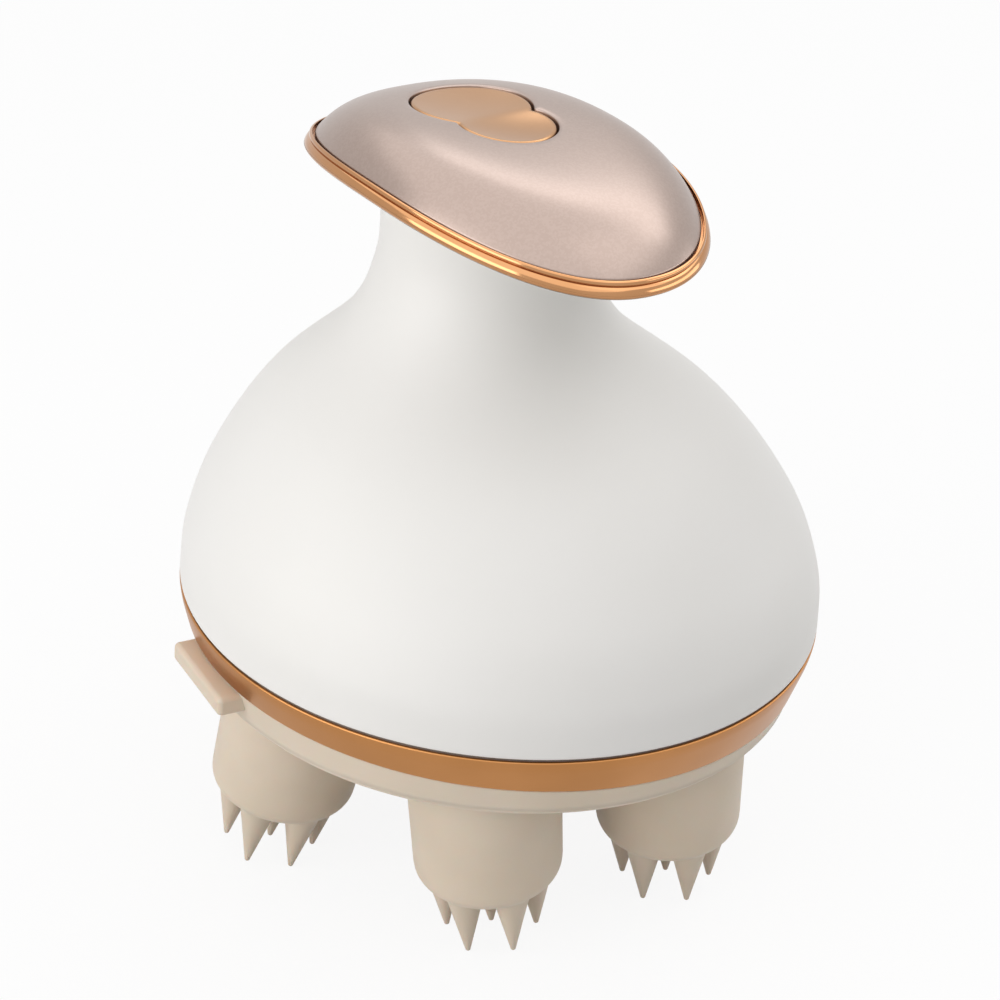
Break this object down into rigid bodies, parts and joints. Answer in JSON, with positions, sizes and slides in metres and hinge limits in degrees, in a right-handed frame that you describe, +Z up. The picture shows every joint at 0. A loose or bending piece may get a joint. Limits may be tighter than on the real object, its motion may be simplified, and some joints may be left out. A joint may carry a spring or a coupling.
{
  "type": "electric scalp massager",
  "caption": "Hand-held scalp massager: a white dome with a finger neck and a leaf-shaped grip above, and silicone heads with pointed spikes that rock below.",
  "frame": {"origin": "on the dome's axis, in the plane that the spike tips stand on", "axes": "+Z up, from the spikes to the grip; the front, the grip's tip, along -Y; the cover's pull tab towards -X"},
  "size_m": [0.1061, 0.104, 0.1226],
  "materials": {
    "white_abs": "satin white moulding",
    "rose_gold": "satin rose-gold plating on plastic",
    "champagne": "satin champagne lacquer",
    "button_gold": "satin gold plating on plastic",
    "silicone": "matte silicone",
    "pom": "natural acetal",
    "dark_plastic": "fine matte",
    "dark_rubber": "soft matte",
    "steel": "bright zinc or ground",
    "bronze": "sintered bronze",
    "board": "solder resist",
    "cell_sleeve": "shrink sleeve",
    "wire": "insulated wire",
    "wire_dark": "insulated wire"
  },
  "bodies": {
    "housing": {"body_shell": "white_abs", "seam_gasket": "dark_rubber", "base_band": "rose_gold", "base_plate": "pom", "silicone_cover": "silicone", "grip_tray": "white_abs", "grip_trim_ring": "rose_gold", "grip_cover": "champagne", "button_seal": "dark_rubber", "switch_board": "board", "tact_switch": "dark_plastic", "grip_screws": "steel", "neck_screws": "steel", "base_screws": "steel", "gearbox_plate": "pom", "gearbox_posts": "pom", "gearbox_screws": "steel", "centre_axle": "steel", "idler_axle": "steel", "motor_can": "steel", "motor_end_cap": "dark_plastic", "battery_cell": "cell_sleeve", "battery_holder": "dark_plastic", "main_board": "board", "charge_socket": "dark_plastic", "battery_lead": "wire", "motor_lead": "wire_dark", "switch_lead": "wire_dark", "crank_bushes": "bronze", "shaft_seals": "dark_rubber"},
    "button": {"button_cap": "button_gold", "tact_plunger": "steel"},
    "centre_drive": {"centre_gear": "pom"},
    "idler": {"idler_gear": "pom"},
    "motor_rotor": {"motor_shaft": "steel", "motor_pinion": "bronze"},
    "crank_1": {"crank_gear_1": "pom", "crank_pin_1": "steel"},
    "crank_2": {"crank_gear_2": "pom", "crank_pin_2": "steel"},
    "crank_3": {"crank_gear_3": "pom", "crank_pin_3": "steel"},
    "crank_4": {"crank_gear_4": "pom", "crank_pin_4": "steel"},
    "crank_5": {"crank_gear_5": "pom", "crank_pin_5": "steel"},
    "crank_6": {"crank_gear_6": "pom", "crank_pin_6": "steel"},
    "head_1": {"head_carrier_1": "pom", "massage_cup_1": "silicone"},
    "head_2": {"head_carrier_2": "pom", "massage_cup_2": "silicone"},
    "head_3": {"head_carrier_3": "pom", "massage_cup_3": "silicone"},
    "head_4": {"head_carrier_4": "pom", "massage_cup_4": "silicone"},
    "head_5": {"head_carrier_5": "pom", "massage_cup_5": "silicone"},
    "head_6": {"head_carrier_6": "pom", "massage_cup_6": "silicone"}
  },
  "joints": [
    {"name": "button_press", "type": "slide", "parent": "housing", "child": "button", "axis": [0, 0, -1], "range_m": [0, 0.0005], "stiffness_N_per_m": 2000},
    {"name": "centre_spin", "type": "hinge", "parent": "housing", "child": "centre_drive", "pos_m": [0, 0, 0.0489], "axis": [0, 0, 1], "continuous": true},
    {"name": "idler_spin", "type": "hinge", "parent": "housing", "child": "idler", "pos_m": [0.00417, 0.02364, 0.0549], "axis": [0, 0, 1], "continuous": true},
    {"name": "motor_spin", "type": "hinge", "parent": "housing", "child": "motor_rotor", "pos_m": [0, 0.00489, 0.0569], "axis": [0, 0, 1], "continuous": true},
    {"name": "crank_spin_1", "type": "hinge", "parent": "housing", "child": "crank_1", "pos_m": [0.02169, 0.02585, 0.0489], "axis": [0, 0, 1], "continuous": true},
    {"name": "crank_spin_2", "type": "hinge", "parent": "housing", "child": "crank_2", "pos_m": [-0.01154, 0.03171, 0.0489], "axis": [0, 0, 1], "continuous": true},
    {"name": "crank_spin_3", "type": "hinge", "parent": "housing", "child": "crank_3", "pos_m": [-0.03324, 0.00586, 0.0489], "axis": [0, 0, 1], "continuous": true},
    {"name": "crank_spin_4", "type": "hinge", "parent": "housing", "child": "crank_4", "pos_m": [-0.02169, -0.02585, 0.0489], "axis": [0, 0, 1], "continuous": true},
    {"name": "crank_spin_5", "type": "hinge", "parent": "housing", "child": "crank_5", "pos_m": [0.01154, -0.03171, 0.0489], "axis": [0, 0, 1], "continuous": true},
    {"name": "crank_spin_6", "type": "hinge", "parent": "housing", "child": "crank_6", "pos_m": [0.03324, -0.00586, 0.0489], "axis": [0, 0, 1], "continuous": true},
    {"name": "head_rock_1", "type": "hinge", "parent": "crank_1", "child": "head_1", "pos_m": [0.02169, 0.02585, 0.0359], "axis": [0.1308, 0.0476, 0.9903], "continuous": true},
    {"name": "head_rock_2", "type": "hinge", "parent": "crank_2", "child": "head_2", "pos_m": [-0.01154, 0.03171, 0.0359], "axis": [-0.0696, -0.1205, 0.9903], "continuous": true},
    {"name": "head_rock_3", "type": "hinge", "parent": "crank_3", "child": "head_3", "pos_m": [-0.03324, 0.00586, 0.0359], "axis": [0.0696, -0.1205, 0.9903], "continuous": true},
    {"name": "head_rock_4", "type": "hinge", "parent": "crank_4", "child": "head_4", "pos_m": [-0.02169, -0.02585, 0.0359], "axis": [-0.1361, 0.0289, 0.9903], "continuous": true},
    {"name": "head_rock_5", "type": "hinge", "parent": "crank_5", "child": "head_5", "pos_m": [0.01154, -0.03171, 0.0359], "axis": [-0.1384, -0.0145, 0.9903], "continuous": true},
    {"name": "head_rock_6", "type": "hinge", "parent": "crank_6", "child": "head_6", "pos_m": [0.03324, -0.00586, 0.0359], "axis": [-0.0476, 0.1308, 0.9903], "continuous": true}
  ],
  "couplings": [
    {"joint": "idler_spin", "follows": "centre_spin", "ratio": -3},
    {"joint": "motor_spin", "follows": "centre_spin", "ratio": 9},
    {"joint": "crank_spin_1", "follows": "centre_spin", "ratio": -1.5},
    {"joint": "crank_spin_2", "follows": "centre_spin", "ratio": -1.5},
    {"joint": "crank_spin_3", "follows": "centre_spin", "ratio": -1.5},
    {"joint": "crank_spin_4", "follows": "centre_spin", "ratio": -1.5},
    {"joint": "crank_spin_5", "follows": "centre_spin", "ratio": -1.5},
    {"joint": "crank_spin_6", "follows": "centre_spin", "ratio": -1.5},
    {"joint": "head_rock_1", "follows": "centre_spin", "ratio": 1.5},
    {"joint": "head_rock_2", "follows": "centre_spin", "ratio": 1.5},
    {"joint": "head_rock_3", "follows": "centre_spin", "ratio": 1.5},
    {"joint": "head_rock_4", "follows": "centre_spin", "ratio": 1.5},
    {"joint": "head_rock_5", "follows": "centre_spin", "ratio": 1.5},
    {"joint": "head_rock_6", "follows": "centre_spin", "ratio": 1.5}
  ]
}
